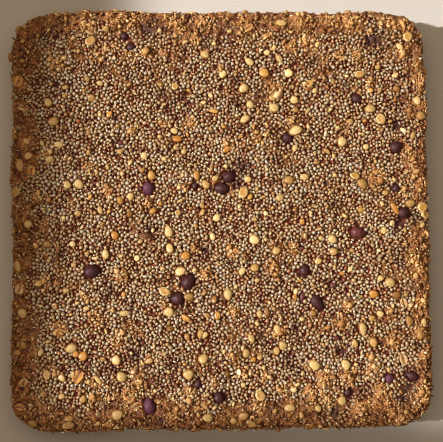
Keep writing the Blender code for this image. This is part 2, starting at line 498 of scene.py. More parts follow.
def scatter(name, bead, places, look, uneven=0.0, form=None):
    """One mesh of all the copies, each a little uneven, each in its own cell of the map."""
    count, corners = len(places.centre), len(bead.points)
    shape = np.broadcast_to(bead.points, (count, corners, 3))
    shape = shape * (1 + uneven * rng.uniform(-1, 1, (count, corners, 1)))
    if form is not None:
        shape = form(shape)
    local = shape * places.size[:, None, :]
    points = places.centre[:, None, :] + local @ places.axes
    points[..., 2] = np.maximum(points[..., 2], 0.02 * MM)
    faces = bead.faces[None] + (np.arange(count) * corners)[:, None, None]
    cells = ceil(sqrt(count))
    cell = np.stack([np.arange(count) % cells, np.arange(count) // cells], axis=-1)
    corner_map = (cell[:, None, None, :] + bead.map[None]) / cells
    values = {
        "crown": np.tile(bead.crown, count),
        "tone": np.repeat(places.tone, corners),
        "toast": np.repeat(places.toast, corners),
        "fruit_and_shade": np.repeat(places.fruit_and_shade, corners),
        "local": (local + rng.uniform(0, 1, (count, 1, 3))).reshape(-1, 3),
    }
    return new_piece(name, points.reshape(-1, 3), faces.reshape(-1, 3), corner_map, values, look)


# ---- finishes --------------------------------------------------------------------------

MIX_A, MIX_B, MIX_OUT = 6, 7, 2     # colour sockets of the Mix node


def linear(code):
    """sRGB hex to linear colour."""
    parts = [int(code[place:place + 2], 16) / 255 for place in (0, 2, 4)]
    return (*(part / 12.92 if part <= 0.04045 else ((part + 0.055) / 1.055) ** 2.4 for part in parts), 1)


def add(tree, kind, inputs=None, stops=None, **settings):
    """One node, with its settings, its ramp stops, and its sockets: values or outputs."""
    node = tree.nodes.new(kind)
    for name, value in settings.items():
        setattr(node, name, value)
    for number, (place, code) in enumerate(stops or ()):
        elements = node.color_ramp.elements
        element = elements[number] if number < 2 else elements.new(place)
        element.position = place
        element.color = linear(code)
    for socket, value in (inputs or {}).items():
        if isinstance(value, bpy.types.NodeSocket):
            tree.links.new(value, node.inputs[socket])
        else:
            node.inputs[socket].default_value = value
    return node


def new_look(name, **sockets):
    """A material with its shader's constant sockets set; returns it, its tree and shader."""
    look = bpy.data.materials.new(name)
    look.use_nodes = True
    shader = look.node_tree.nodes["Principled BSDF"]
    for socket, value in sockets.items():
        shader.inputs[socket.replace("_", " ").title().replace("Ior", "IOR")].default_value = value
    return look, look.node_tree, shader


def grain_look(name, pale, deep, toasted):
    """Toasted millet: a hard, slightly translucent hull under a thin glaze of syrup, with a small soft shine. Each
    grain is painted pale on its crown and dark towards its base: partly the syrup it sinks into, partly painted
    shade."""
    look, tree, shader = new_look(name, roughness=0.5, ior=1.5, coat_weight=0.5, coat_roughness=0.22)
    crown = add(tree, "ShaderNodeAttribute", attribute_name="crown")
    tone = add(tree, "ShaderNodeAttribute", attribute_name="tone")
    toast = add(tree, "ShaderNodeAttribute", attribute_name="toast")
    spot = add(tree, "ShaderNodeAttribute", attribute_name="local")
    # Hull speckle about 0.5 mm across
    speckle = add(tree, "ShaderNodeTexNoise", {"Vector": spot.outputs["Vector"], "Scale": 2000, "Detail": 2})
    hull = add(tree, "ShaderNodeMix", {0: tone.outputs["Fac"], MIX_A: linear(pale), MIX_B: linear(deep)},
               data_type="RGBA")
    browned = add(tree, "ShaderNodeMix", {0: toast.outputs["Fac"], MIX_A: hull.outputs[MIX_OUT],
                                          MIX_B: linear(toasted)}, data_type="RGBA")
    mottled = add(tree, "ShaderNodeMix", {0: speckle.outputs["Fac"], MIX_A: browned.outputs[MIX_OUT],
                                          MIX_B: linear("8a5c38")}, data_type="RGBA", blend_type="SOFT_LIGHT")
    syrup = add(tree, "ShaderNodeMix", {0: toast.outputs["Fac"], MIX_A: linear("96481a"),
                                        MIX_B: linear("8a501c")}, data_type="RGBA")
    # Pale crown, dark base: partly syrup, partly painted shade
    rise = add(tree, "ShaderNodeMapRange", {"Value": crown.outputs["Fac"], "From Min": -0.4, "From Max": 0.5},
               interpolation_type="SMOOTHSTEP")
    glazed_and_shaded = add(tree, "ShaderNodeMix", {0: rise.outputs["Result"], MIX_A: syrup.outputs[MIX_OUT],
                                         MIX_B: mottled.outputs[MIX_OUT]}, data_type="RGBA")
    # Darkened by melted dark fruits, and by painted shade in a few hollows
    fruit_and_shade = add(tree, "ShaderNodeAttribute", attribute_name="fruit_and_shade")
    colour = add(tree, "ShaderNodeMix", {0: fruit_and_shade.outputs["Fac"], MIX_A: glazed_and_shaded.outputs[MIX_OUT],
                                         MIX_B: linear("4c2a1e")}, data_type="RGBA")
    tree.links.new(colour.outputs[MIX_OUT], shader.inputs["Base Color"])
    return look


def crumb_look(name, shades, depth):
    """Oat crumb bound in date syrup: dry and golden where lumps of crumb stand up and brown, dark in the hollows,
    partly from sticky syrup there and partly as painted shade."""
    look, tree, shader = new_look(name, roughness=0.7, ior=1.45)
    clump = add(tree, "ShaderNodeAttribute", attribute_name="clump")
    where = add(tree, "ShaderNodeTexCoord")
    # Crumb about 0.8 mm across, and browning in patches of about 6 mm
    fine = add(tree, "ShaderNodeTexNoise", {"Vector": where.outputs["Object"], "Scale": 1250, "Detail": 3})
    broad = add(tree, "ShaderNodeTexNoise", {"Vector": where.outputs["Object"], "Scale": 160, "Detail": 2})
    # Colour follows the crumb's height, darker low down: partly syrup, partly painted shade
    shaken = add(tree, "ShaderNodeMath", {0: fine.outputs["Fac"], 1: 0.9, 2: clump.outputs["Fac"]},
                 operation="MULTIPLY_ADD")
    height = add(tree, "ShaderNodeMath", {0: shaken.outputs["Value"], 1: 0.45}, operation="SUBTRACT")
    golden = add(tree, "ShaderNodeValToRGB", {"Fac": height.outputs["Value"]},
                 stops=tuple(zip((0.0, 1.0, 0.3, 0.65), shades)))
    colour = add(tree, "ShaderNodeMix", {0: broad.outputs["Fac"], MIX_A: golden.outputs["Color"],
                                         MIX_B: linear("86663e")}, data_type="RGBA", blend_type="SOFT_LIGHT")
    # Darkened by melted dark fruits, and by painted shade in a few hollows
    fruit_and_shade = add(tree, "ShaderNodeAttribute", attribute_name="fruit_and_shade")
    smeared = add(tree, "ShaderNodeMix", {0: fruit_and_shade.outputs["Fac"], MIX_A: colour.outputs[MIX_OUT],
                                          MIX_B: linear("30160f")}, data_type="RGBA")
    relief = add(tree, "ShaderNodeBump", {"Height": fine.outputs["Fac"], "Distance": depth, "Strength": 0.7})
    tree.links.new(smeared.outputs[MIX_OUT], shader.inputs["Base Color"])
    tree.links.new(relief.outputs["Normal"], shader.inputs["Normal"])
    return look


def kernel_look(name, face, edge, blush, roughness, ring=(0.05, 0.6)):
    """Dried pulse or maize kernel: a smooth waxy skin with a soft blush. Towards the edge and underneath it takes the
    edge colour: painted shade on most kernels, a pale raised ring on dented ones.
    """
    look, tree, shader = new_look(name, roughness=roughness, ior=1.47, coat_weight=0.12, coat_roughness=0.3)
    crown = add(tree, "ShaderNodeAttribute", attribute_name="crown")
    tone = add(tree, "ShaderNodeAttribute", attribute_name="tone")
    toast = add(tree, "ShaderNodeAttribute", attribute_name="toast")
    spot = add(tree, "ShaderNodeAttribute", attribute_name="local")
    # Skin mottling about 1.2 mm across
    mottle = add(tree, "ShaderNodeTexNoise", {"Vector": spot.outputs["Vector"], "Scale": 850, "Detail": 3})
    skin = add(tree, "ShaderNodeMix", {0: tone.outputs["Fac"], MIX_A: linear(face[0]), MIX_B: linear(face[1])},
               data_type="RGBA")
    # Edge colour by crown: painted shade on most kernels, the pale raised ring on dented ones
    rise = add(tree, "ShaderNodeMapRange", {"Value": crown.outputs["Fac"], "From Min": ring[0],
                                             "From Max": ring[1]}, interpolation_type="SMOOTHSTEP")
    whole = add(tree, "ShaderNodeMix", {0: rise.outputs["Result"], MIX_A: linear(edge),
                                        MIX_B: skin.outputs[MIX_OUT]}, data_type="RGBA")
    mottled = add(tree, "ShaderNodeMix", {0: mottle.outputs["Fac"], MIX_A: whole.outputs[MIX_OUT],
                                          MIX_B: linear(blush)}, data_type="RGBA", blend_type="SOFT_LIGHT")
    half = add(tree, "ShaderNodeMath", {0: toast.outputs["Fac"], 1: 0.45}, operation="MULTIPLY")
    browned = add(tree, "ShaderNodeMix", {0: half.outputs["Value"], MIX_A: mottled.outputs[MIX_OUT],
                                          MIX_B: linear("a47438")}, data_type="RGBA")
    tree.links.new(browned.outputs[MIX_OUT], shader.inputs["Base Color"])
    return look


def flake_look():
    """Rolled oat, baked: a dry golden face with fine bran lines along it, painted darker along its crease."""
    look, tree, shader = new_look("rolled_oat", roughness=0.72, ior=1.45)
    spot = add(tree, "ShaderNodeAttribute", attribute_name="local")
    tone = add(tree, "ShaderNodeAttribute", attribute_name="tone")
    stretched = add(tree, "ShaderNodeMapping", {"Vector": spot.outputs["Vector"], "Scale": (0.25, 1.6, 1)})
    # Bran lines about 0.6 mm apart
    bran = add(tree, "ShaderNodeTexNoise", {"Vector": stretched.outputs["Vector"], "Scale": 1600, "Detail": 3})
    face = add(tree, "ShaderNodeValToRGB", {"Fac": bran.outputs["Fac"]},
               stops=((0.3, "8a6234"), (0.75, "dcc08e"), (0.5, "c09c66")))
    colour = add(tree, "ShaderNodeMix", {0: tone.outputs["Fac"], MIX_A: face.outputs["Color"],
                                         MIX_B: linear("a57d4e")}, data_type="RGBA", blend_type="SOFT_LIGHT")
    relief = add(tree, "ShaderNodeBump", {"Height": bran.outputs["Fac"], "Distance": 0.3 * MM, "Strength": 0.5})
    crown = add(tree, "ShaderNodeAttribute", attribute_name="crown")
    creased = add(tree, "ShaderNodeMix", {0: crown.outputs["Fac"], MIX_A: linear("6a3e1e"),
                                          MIX_B: colour.outputs[MIX_OUT]}, data_type="RGBA")
    tree.links.new(creased.outputs[MIX_OUT], shader.inputs["Base Color"])
    tree.links.new(relief.outputs["Normal"], shader.inputs["Normal"])
    return look


def bit_look(name="toasted_oat_bits", shades=("68401e", "ceac7a", "946c3a", "b0844e")):
    """Broken oat bits browned in the oven: dry, golden, each bit its own shade, and painted darker towards its base
    as painted shade.
    """
    look, tree, shader = new_look(name, roughness=0.7, ior=1.45)
    tone = add(tree, "ShaderNodeAttribute", attribute_name="tone")
    crown = add(tree, "ShaderNodeAttribute", attribute_name="crown")
    spot = add(tree, "ShaderNodeAttribute", attribute_name="local")
    fine = add(tree, "ShaderNodeTexNoise", {"Vector": spot.outputs["Vector"], "Scale": 1800, "Detail": 2})
    shade = add(tree, "ShaderNodeValToRGB", {"Fac": tone.outputs["Fac"]},
                stops=tuple(zip((0.0, 1.0, 0.35, 0.75), shades)))
    colour = add(tree, "ShaderNodeMix", {0: fine.outputs["Fac"], MIX_A: shade.outputs["Color"],
                                         MIX_B: linear("8f6a44")}, data_type="RGBA", blend_type="SOFT_LIGHT")
    # Darker towards each bit's base: painted shade
    rise = add(tree, "ShaderNodeMapRange", {"Value": crown.outputs["Fac"], "From Min": 0.0, "From Max": 0.5})
    shaded_base = add(tree, "ShaderNodeMix", {0: rise.outputs["Result"], MIX_A: linear("70481e"),
                                        MIX_B: colour.outputs[MIX_OUT]}, data_type="RGBA")
    tree.links.new(shaded_base.outputs[MIX_OUT], shader.inputs["Base Color"])
    return look


def drop_look(name, dark, light):
    """Tempered dark drop: smooth and close-grained with a satin skin and faint draw lines."""
    look, tree, shader = new_look(name, roughness=0.55, ior=1.45, specular_ior_level=0.35)
    spot = add(tree, "ShaderNodeAttribute", attribute_name="local")
    stretched = add(tree, "ShaderNodeMapping", {"Vector": spot.outputs["Vector"], "Scale": (0.2, 1, 1)})
    # Draw lines about 0.7 mm apart
    lines = add(tree, "ShaderNodeTexNoise", {"Vector": stretched.outputs["Vector"], "Scale": 1400, "Detail": 2})
    colour = add(tree, "ShaderNodeMix", {0: lines.outputs["Fac"], MIX_A: linear(dark), MIX_B: linear(light)},
                 data_type="RGBA")
    relief = add(tree, "ShaderNodeBump", {"Height": lines.outputs["Fac"], "Distance": 0.2 * MM, "Strength": 0.4})
    tree.links.new(colour.outputs[MIX_OUT], shader.inputs["Base Color"])
    tree.links.new(relief.outputs["Normal"], shader.inputs["Normal"])
    return look


# ---- kernels ---------------------------------------------------------------------------

# across, along, length, width in millimetres, heading in degrees
PALE_KERNELS = (
    (67, -53.5, 5.7, 3.9, 100), (-22, 34, 2.6, 2.1, 90), (-27.5, 28.5, 2.6, 2.2, 20), (16.5, -30, 2.6, 2.2, 0),
    (-25.5, -6.5, 5.8, 4.0, 90), (-25, -14.5, 4.7, 3.7, 105), (-20, -25.5, 5.5, 4.2, 0), (-2.5, 0, 4.0, 3.4, 90),
    (-4.5, -9, 3.7, 2.9, 90), (15.5, -10.5, 5.6, 4.3, 155), (26, -16, 4.0, 3.8, 90), (9.5, -25.5, 4.1, 3.3, 75),
    (28, 9.5, 4.0, 3.6, 0), (21, 2, 2.5, 2.3, 0), (12.5, 18.5, 3.7, 3.0, 30), (-3, 19, 3.3, 2.8, 15),
    (-18, 32, 3.1, 2.3, 60), (29.5, 94.5, 5.5, 3.4, 170), (-7.5, 79, 4.4, 3.8, 120), (14, 75.5, 4.5, 3.3, 135),
    (22.5, 80, 3.2, 2.8, 30), (28.5, 77, 4.2, 3.1, 135), (33, 70, 4.7, 3.9, 0), (1, 69.5, 4.1, 3.6, 30),
    (11, 62.5, 4.6, 4.4, 60), (25.5, 53, 5.3, 4.1, 165), (35.5, 57, 4.4, 3.5, 135), (11.5, 47.5, 4.7, 3.6, 20),
    (36, 42, 6.0, 4.7, 15), (-22.5, 42, 3.9, 2.8, 165), (-8.5, 55.5, 2.9, 2.1, 0), (-5, 59, 3.2, 2.0, 120),
    (14, 54.5, 3.9, 3.5, 90), (47, 84, 3.1, 2.3, 75), (85, 69, 3.5, 2.6, 15), (72.5, 52.5, 5.7, 3.9, 10),
    (58.5, 36.5, 5.1, 4.5, 60), (95.5, 56.5, 4.7, 3.3, 90), (87.5, 83, 4.2, 2.7, 140),
    (53, -10.5, 4.4, 4.2, 0), (47.5, -10, 2.6, 2.3, 0), (46, -21, 3.6, 3.4, 45), (61.5, -25, 2.7, 2.3, 60),
    (80.5, -31.5, 5.5, 4.1, 160), (76, -29.5, 3.2, 2.7, 15), (93, -28.5, 3.1, 2.8, 60), (78, -6.5, 3.7, 2.9, 75),
    (82, -3, 3.0, 2.5, 60), (70, 34, 3.1, 2.8, 135), (40, 19.5, 4.1, 3.3, 165), (35.5, 33.5, 3.6, 2.5, 60),
    (-73.5, 16, 4.1, 3.6, 75), (-68, 16.5, 4.8, 4.3, 135), (-43.5, 10.5, 3.6, 3.4, 0), (-55.5, -17, 4.7, 3.5, 105),
    (-40.5, -19, 3.2, 2.8, 0), (-92, -2.5, 4.0, 3.6, 120), (-71, -12, 3.1, 2.9, 0), (-37, 30, 3.9, 3.2, 75),
    (-92, 30, 4.1, 3.6, 0), (-82, 28.5, 4.1, 3.4, 15), (-93, 37, 3.7, 2.9, 150), (-77.5, 35.5, 4.7, 3.1, 165),
    (-82.5, 55.5, 4.2, 3.7, 90), (-58, 65, 3.1, 2.6, 0), (-97, -22.5, 5.4, 3.4, 105), (-94.5, -44.5, 5.1, 4.0, 105),
    (-46.5, -45, 5.1, 2.9, 0), (-64.5, -42.5, 3.1, 2.0, 165), (-71.5, -61, 5.5, 4.4, 5), (-50.5, -67, 5.0, 4.2, 105),
    (-48, -75, 5.3, 4.3, 105), (-76, -75, 3.9, 3.4, 135), (-71, -73.5, 3.2, 2.1, 75), (-59, -76.5, 5.5, 2.6, 125),
    (-86, -63, 3.7, 2.5, 75), (-50, -92.5, 5.3, 4.9, 45), (-25.5, -44.5, 5.0, 4.6, 135), (2.5, -36.5, 5.7, 3.9, 100),
    (13.5, -57.5, 4.5, 3.1, 100), (26, -53.5, 4.7, 3.5, 105), (28.5, -61, 4.5, 4.0, 135), (-9.5, -67, 5.1, 4.3, 90),
    (11, -64.5, 4.5, 3.3, 100), (-16.5, -74, 5.3, 4.6, 50), (31.5, -90.5, 5.1, 3.7, 170),
    (-7.5, -94.5, 4.9, 3.9, 160), (9.5, -79.5, 2.7, 2.4, 0), (35, -35.5, 3.3, 2.3, 75), (75.5, -46.5, 3.5, 3.3, 0),
    (43.5, -70.5, 5.5, 5.0, 150), (58.5, -70.5, 5.5, 3.9, 100), (56.5, -87.5, 4.5, 4.0, 30), (45, -91, 3.5, 2.7, 150),
    (-8.5, -55.5, 3.1, 2.8, 0), (17.5, -46, 3.7, 3.0, 100), (96.5, -51, 4.1, 2.7, 80), (45.5, 61.5, 2.8, 2.4, 45),
)
GOLDEN_KERNELS = (
    (-7.5, 16, 4.9, 3.3, 110), (32.5, 18, 4.7, 4.1, 165), (15.5, -24, 4.3, 3.8, 150), (-28.5, -24, 2.9, 2.6, 0),
    (25, 58, 3.9, 3.1, 165), (-55, 91.5, 3.3, 3.0, 0), (-64, 67, 2.8, 2.4, 0), (-74.5, 63, 3.3, 2.5, 0),
    (-80, 46.5, 5.1, 4.4, 0), (-62, 58, 4.4, 3.4, 145), (-63.5, 41.5, 3.2, 2.4, 90), 
    (97, 49, 4.5, 4.2, 90), (93, 39.5, 4.3, 2.4, 80), (68, 16, 5.3, 4.6, 135), (79, 11.5, 3.2, 2.9, 0),
    (91, 6.5, 4.6, 4.2, 0), (53.5, -16.5, 4.2, 4.0, 0), (46, 26.5, 3.5, 2.1, 15), (51, 32, 4.1, 2.1, 145),
    (62.5, 46.5, 3.2, 2.6, 0), (-48.5, 32, 3.1, 2.8, 30), (-38, 23, 2.7, 2.4, 0), (-47.5, 21.5, 2.6, 2.4, 0),
    (-58, 4, 4.1, 2.6, 100), (-68.5, 2.5, 3.5, 2.8, 15), (-83, -12, 3.5, 3.2, 0),
    (-39, -11, 2.6, 2.2, 0), (-70.5, -22, 2.8, 2.5, 0), (-74, -34, 3.5, 2.6, 15), (-94, -59.5, 3.6, 3.2, 90),
    (-97, -63, 3.2, 3.0, 0), (-84.5, -82.5, 3.5, 3.0, 15), (-76, -83.5, 3.3, 3.1, 0), (-89.5, -96, 4.3, 3.4, 150),
    (-72.5, -94, 4.2, 3.0, 15), (-66, -85, 3.6, 3.4, 45), (-16, -37.5, 4.4, 3.6, 15), (-10.5, -55, 4.5, 3.3, 90),
    (25.5, -63.5, 4.3, 3.1, 100), (-7.5, -46.5, 3.0, 2.6, 0), (9.5, -94, 4.5, 3.8, 15), (4.5, -96, 4.1, 3.0, 150),
    (63, -60.5, 4.0, 3.4, 120), (72, -60, 4.7, 4.0, 90), (71.5, -48.5, 3.2, 2.9, 0),
    (89.5, -50, 4.5, 3.6, 100), (95, -56.5, 4.9, 3.9, 100), (17.5, -66.5, 3.1, 2.6, 60), (-35, -67.5, 4.1, 3.0, 15),
    (36, 52, 3.3, 2.7, 15), (76.5, 73, 2.8, 2.5, 0), (54.5, 66, 3.1, 2.1, 90), (62.5, -16, 2.6, 2.1, 0),
    (-9.5, 6, 3.4, 2.4, 110), (-9.2, 2.8, 3.2, 2.5, 80),
)
AMBER_KERNELS = (
    (-17.5, -18, 4.6, 4.4, 0), (21, 70, 5.0, 4.9, 0), (-21, 38, 4.7, 3.5, 170), (-33.5, 20.5, 5.0, 3.5, 90),
    (-48.5, 8.5, 3.8, 3.4, 120), (-51, -8, 4.1, 3.8, 60), (83.5, 4, 6.6, 3.0, 120), (72.5, -37, 4.5, 4.2, 150),
    (-66, -65, 5.0, 4.2, 45), (-69.5, -64, 3.4, 3.0, 0), 
    (-3.5, 51.5, 4.7, 2.3, 175),
    (-12, 20.5, 5.1, 3.0, 90), (2.5, 33, 4.1, 3.0, 30), (-33, 3.5, 3.7, 3.0, 30), (13.5, 10, 3.1, 2.8, 60),
    (72.5, 61.5, 3.2, 3.0, 0), (67, 3.5, 3.2, 2.8, 60), (38.5, -2, 3.3, 2.5, 100), (57.5, -27, 2.7, 2.4, 0),
    (34.5, -38, 2.8, 2.6, 0), (14.5, -67.5, 2.8, 2.6, 0), (-2.5, -46.5, 4.0, 3.3, 100), (-15.5, 61.5, 2.2, 1.9, 0),
    (-53.5, 50, 3.5, 2.6, 60), (-47, -36, 2.8, 2.0, 75),
    (-17.5, -47.5, 5.2, 3.0, 145), (-75, 59, 2.2, 2.0, 0),
)
UMBER_KERNELS = (
    (-25, -52.5, 3.4, 3.2, 0), (21, -45, 4.7, 2.8, 90), (-4, -39, 4.1, 3.4, 90), (2, -74, 3.6, 2.4, 90),
    (83.5, -37.5, 4.7, 3.4, 15), (-46.5, -25.5, 5.2, 2.2, 110), (-17, -56.5, 4.1, 2.7, 100), (43, -46, 3.8, 3, 150),
    (-44, 2, 3, 2.7, 0), (85.5, 62.5, 3.6, 2.7, 165),
)
RINGED_KERNELS = (
    (-62.5, 85.5, 4.9, 4.4, 30), (91.5, 88, 4.7, 4.4, 120), (77.5, 47.5, 5.1, 4.4, 160), (-27.5, -35, 5.5, 4.0, 170),
    (10.5, 12, 5.3, 4.4, 60), (64.5, 20, 4.1, 3.3, 0), (97, 4.5, 4.7, 4.2, 30), (98.5, 1, 4.1, 3.6, 120),
    (-83, -73.5, 4.3, 3.7, 90), (17.5, -84.5, 5.3, 4.4, 140), (67.5, 69.5, 5.1, 3.0, 0), (43, 65, 3.7, 3.4, 60),
    (13, -98, 4.6, 3.0, 165), (-96, 25.5, 5.1, 3.5, 100), (-98, 13, 4.1, 3.8, 0), (-73, -97, 5.4, 3.1, 0),
    (-21, 2.5, 3.0, 2.7, 45), (-22, 63.5, 3.5, 3.0, 90),
)
WHITE_KERNELS = (
    (7.5, -73.5, 3.3, 2.5, 90), (50.5, 40.5, 2.7, 1.8, 75), (88.5, 42, 3.4, 2.2, 160),
)
RED_KERNELS = (
    (-48, 36.5, 3.2, 2.9, 45), (53, -32.5, 3.1, 2.9, 0), (54, -58, 3.7, 2.8, 160), (-88, 46, 2.4, 1.9, 0),
    (38, -15, 2.5, 2.1, 30), (-64, -68.5, 2.9, 2.3, 45), (-38, -59, 2.6, 2.2, 0), (101, -76, 3.2, 2.6, 90),
)


def hand_placed(rows, skin, proud):
    """Kernels set in the top at the listed places; proud is the share of their height that shows."""
    rows = np.array(rows, float)
    above = np.column_stack([rows[:, :2] * MM, np.full(len(rows), THICKNESS)])
    points, ways = skin.nearest(above)
    length, width = 1.1 * rows[:, 2] * MM / 2, 1.1 * rows[:, 3] * MM / 2
    height = width * 0.6
    lift = (2 * proud - 1) * height
    return Places(points, ways, np.stack([length, width, height], axis=-1), lift,
                  heading=np.radians(rows[:, 4]), tilt=0.14)


def misshapen(shape):
    """Kernels grown a little lopsided, no two alike."""
    around = np.arctan2(shape[..., 1], shape[..., 0])
    first, second = rng.uniform(0, 2 * pi, (2, len(shape), 1))
    bent = shape.copy()
    bent[..., :2] *= (1 + 0.08 * np.sin(2 * around + first) + 0.06 * np.sin(3 * around + second))[..., None]
    bent[..., 2] *= 1 + 0.2 * np.sin(around + second) * np.hypot(shape[..., 0], shape[..., 1])
    return bent


def dented(shape):
    """A kernel whose middle has sunk as it dried, leaving a raised ring."""
    out = np.hypot(shape[..., 0], shape[..., 1])
    sunk = misshapen(shape)
    sunk[..., 2] -= np.where(shape[..., 2] > 0, 0.62 * np.exp(-(out / 0.5) ** 2), 0)
    return sunk


def curled(shape):
    """A rolled flake: a shallow dish with a crease along its middle and a wavy rim."""
    bent = shape.copy()
    along, across = shape[..., 0], shape[..., 1]
    way = rng.uniform(-1, 1, (len(shape), 1))
    bent[..., 2] += way * (along ** 2) * 1.1 + 0.5 * across ** 2
    bent[..., 2] -= np.where(shape[..., 2] > 0, 0.9 * np.exp(-(across / 0.2) ** 2), 0)
    bent[..., 0] *= 1 + 0.08 * np.sin(3 * np.arctan2(across, along) + 6 * way)
    return bent


# ---- spreading the grains --------------------------------------------------------------

def packed(skin, points, radii, rounds):
    """Pushes neighbours apart until they sit like poured grain."""
    reach = 2 * radii.max()
    for _ in range(rounds):
        tree = KDTree(len(points))
        for number, place in enumerate(points.tolist()):
            tree.insert(place, number)
        tree.balance()
        pairs = [(number, index, gap) for number, place in enumerate(points.tolist())
                 for _, index, gap in tree.find_range(place, reach) if index > number]
        one, other, gap = (np.array(column) for column in zip(*pairs))
        close = gap < radii[one] + radii[other]
        one, other, gap = one[close], other[close], gap[close]
        share = 0.42 * ((radii[one] + radii[other]) / np.maximum(gap, 0.1 * MM) - 1)
        push = (points[one] - points[other]) * share[:, None]
        for axis in range(3):
            points[:, axis] += np.bincount(one, push[:, axis], len(points))
            points[:, axis] -= np.bincount(other, push[:, axis], len(points))
        points, _ = skin.nearest(points)
    return points


def node_tree(name):
    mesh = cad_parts[name].data
    return BVHTree.FromPolygons([v.co[:] for v in mesh.vertices], [p.vertices[:] for p in mesh.polygons])


def on_drops(points, gap):
    """Whether each point lies inside a dark drop or nearer to it than the gap."""
    taken = np.zeros(len(points), bool)
    for name, (x, y, reach) in zip(drop_names, drop_circles()):
        tree = node_tree(name)
        away = np.hypot(points[:, 0] - x, points[:, 1] - y)
        near = np.flatnonzero((away < reach + gap) & (points[:, 2] > THICKNESS / 2))
        for number in near:
            place = Vector(points[number])
            found, way, _, distance = tree.find_nearest(place)
            taken[number] |= distance < gap or (place - found).dot(way) < 0
    return taken


def spaced(points, spacing, taken=()):
    """The first of the points that keep this far from each other and from those taken."""
    kept = []
    for place in points:
        others = list(taken) + kept
        if not others or np.linalg.norm(np.array(others) - place, axis=1).min() > spacing:
            kept.append(place)
    return np.array(kept)


# ---- building --------------------------------------------------------------------------

def superellipsoid(rings, squareness):
    """Rings of a turned body whose top is flatter and whose edge is fuller than a ball's."""
    turns = np.linspace(0, pi, rings + 2)[1:-1]
    return [(sin(turn) ** squareness, np.sign(cos(turn)) * abs(cos(turn)) ** squareness) for turn in turns]


skin = Skin()

# Kernels
kernel = Bead(superellipsoid(7, 0.7), 14)
kernel.crown = np.where(kernel.points[:, 2] > 0, 1 - (kernel.points[:, :2] ** 2).sum(axis=1), -1)
TABLES = {"white": WHITE_KERNELS, "pale": PALE_KERNELS, "golden": GOLDEN_KERNELS, "amber": AMBER_KERNELS, "umber": UMBER_KERNELS, "ringed": RINGED_KERNELS,
          "red": RED_KERNELS}
kernels = {kind: hand_placed(rows, skin, 0.6) for kind, rows in TABLES.items()}
more = skin.random_points(900)
more = more[~on_drops(more, 2.5 * MM)]
more = more[(more[:, 2] > FOOT_RADIUS) & (more[:, 2] < THICKNESS - SHOULDER_RADIUS / 2)]
more = spaced(more, 12 * MM, joined(list(kernels.values())).centre)
spots, ways = skin.nearest(more)
half = rng.uniform(1.5, 2.3, (len(spots), 1)) * MM
strays = Places(spots, ways, half * (1.1, 0.9, 0.62), 0.35 * MM, tilt=0.15)
paler = rng.random(len(spots)) < 0.6
kernels["pale"] = joined([kernels["pale"], strays.keep(paler)])
kernels["golden"] = joined([kernels["golden"], strays.keep(~paler)])
all_kernels = joined(list(kernels.values()))
more = skin.random_points(2600)
more = more[(more[:, 2] > THICKNESS - SHOULDER_RADIUS / 2) & ~on_drops(more, 2 * MM)]
more = spaced(more, 4.2 * MM, all_kernels.centre)[:280]
spots, ways = skin.nearest(more)
half = rng.uniform(0.8, 1.45, (len(spots), 1)) * MM
splits = Places(spots, ways, half * rng.uniform((1.0, 0.7, 0.6), (1.35, 0.95, 0.8), (len(spots), 3)), 0.35 * MM,
                tilt=0.3)
# Each look: face shades, edge colour (painted shade, except the pale raised ring of dented kernels), blush, roughness
KERNEL_LOOKS = {
    "white": kernel_look("blanched_kernel", ("dcd4bc", "cabf98"), "a88c60", "c8bc98", 0.5),
    "pale": kernel_look("dried_pale_kernel", ("ccb482", "b89e68"), "987444", "b89e70", 0.5),
    "golden": kernel_look("toasted_golden_kernel", ("b4965a", "9c7a44"), "805c34", "ac8c54", 0.5),
    "amber": kernel_look("amber_kernel", ("ba9450", "b07c36"), "7c5024", "ae8a4c", 0.4),
    "umber": kernel_look("browned_amber_kernel", ("96702e", "845c24"), "64401a", "94703a", 0.4),
    "ringed": kernel_look("dented_pale_kernel", ("aa863e", "a07c40"), "beaa7c", "a8823e", 0.5, (0.25, 0.65)),
    "red": kernel_look("red_kernel", ("74392e", "643028"), "3c1a16", "84483a", 0.45),
}
for kind, places in kernels.items():
    scatter(kind + "_kernels", kernel, places, KERNEL_LOOKS[kind], 0.05,
            dented if kind == "ringed" else misshapen)
split = Bead(superellipsoid(4, 0.75), 9)
split.crown = np.where(split.points[:, 2] > 0, 1 - (split.points[:, :2] ** 2).sum(axis=1), -1)
which = np.digitize(rng.random(len(splits.centre)), (0.5, 0.88))
for number, kind in enumerate(("pale", "golden", "amber")):
    scatter(kind + "_splits", split, splits.keep(which == number), KERNEL_LOOKS[kind], 0.08, misshapen)

# Rolled oats, mostly in the browned rim and on the sides
flake = Bead(((0.22, 0.55), (0.46, 0.60), (0.68, 0.80), (0.85, 1.0), (0.96, 0.75), (1.0, 0.0), (0.94, -0.8),
              (0.68, -1.0), (0.35, -1.0)), 20, top=0.55)
OAT_FLAKES = (
    (-68.5, -74.5, 6.2, 4.8, 60), (101, 17, 5.2, 3.6, 90), (88, 94, 6.0, 3.4, 120), (54, 96.5, 5.4, 3.0, 0),
    (-63, 91, 6.0, 3.6, 150), (86.5, -68.5, 5.2, 3.6, 105), (97, -66, 4.6, 4.0, 45), (87, -41.5, 5.0, 3.2, 110),
    (92, -19, 5.0, 3.0, 110), (-90.5, 23, 4.6, 3.6, 90), (13.5, 92.5, 4.6, 4.2, 30), (98.5, 67.5, 5.0, 4.2, 75),
    (-97, 66, 5.6, 4.4, 60), (-96, -33, 5.4, 4.0, 75), (66, 96, 5.6, 4.0, 20), (-48, 96, 5.0, 3.6, 45),
)
creased = flake.points[:, 2] > 0
flake.crown = 1 - creased * np.exp(-(flake.points[:, 1] / 0.16) ** 2)
more = skin.random_points(5000)
side = (more[:, 2] > 2 * FOOT_RADIUS) & (more[:, 2] < THICKNESS - SHOULDER_RADIUS / 2)
